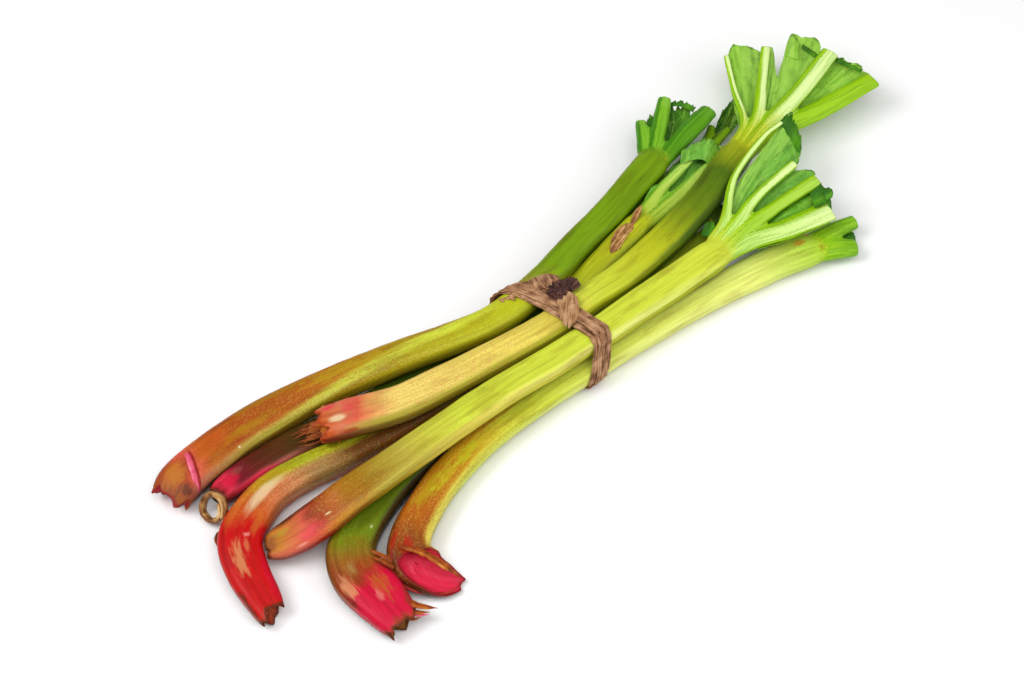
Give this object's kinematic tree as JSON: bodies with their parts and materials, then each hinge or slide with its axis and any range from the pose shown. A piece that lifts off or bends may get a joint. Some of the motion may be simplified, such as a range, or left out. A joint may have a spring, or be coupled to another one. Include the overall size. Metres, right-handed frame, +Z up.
{
  "type": "tied bunch of rhubarb stalks",
  "caption": "Bunch of cut rhubarb stalks with trimmed leaf fans and hooked red bases, lying down, tied with a strip of dried leaf.",
  "frame": {"origin": "under the middle of the bunch's box, on the surface that it lies on", "axes": "+X along the bunch from the torn bases to the leaf ends, +Z up from the surface that it lies on"},
  "size_m": [0.4894, 0.1914, 0.0399],
  "materials": {
    "green_skin": "satin",
    "red_skin": "satin",
    "leaf_blade": "satin",
    "dried_leaf": "matte"
  },
  "bodies": {
    "root": {"stalk_back": "green_skin", "stalk_curled_end": "green_skin", "stalk_red_hook": "red_skin", "stalk_top": "green_skin", "stalk_centre": "green_skin", "stalk_green_hook": "green_skin", "stalk_front": "green_skin", "blade_back": "leaf_blade", "blade_curled_end": "leaf_blade", "blade_red_hook": "leaf_blade", "blade_top": "leaf_blade", "blade_centre": "leaf_blade", "blade_green_hook": "leaf_blade", "blade_front": "leaf_blade", "tie": "dried_leaf"}
  },
  "joints": []
}
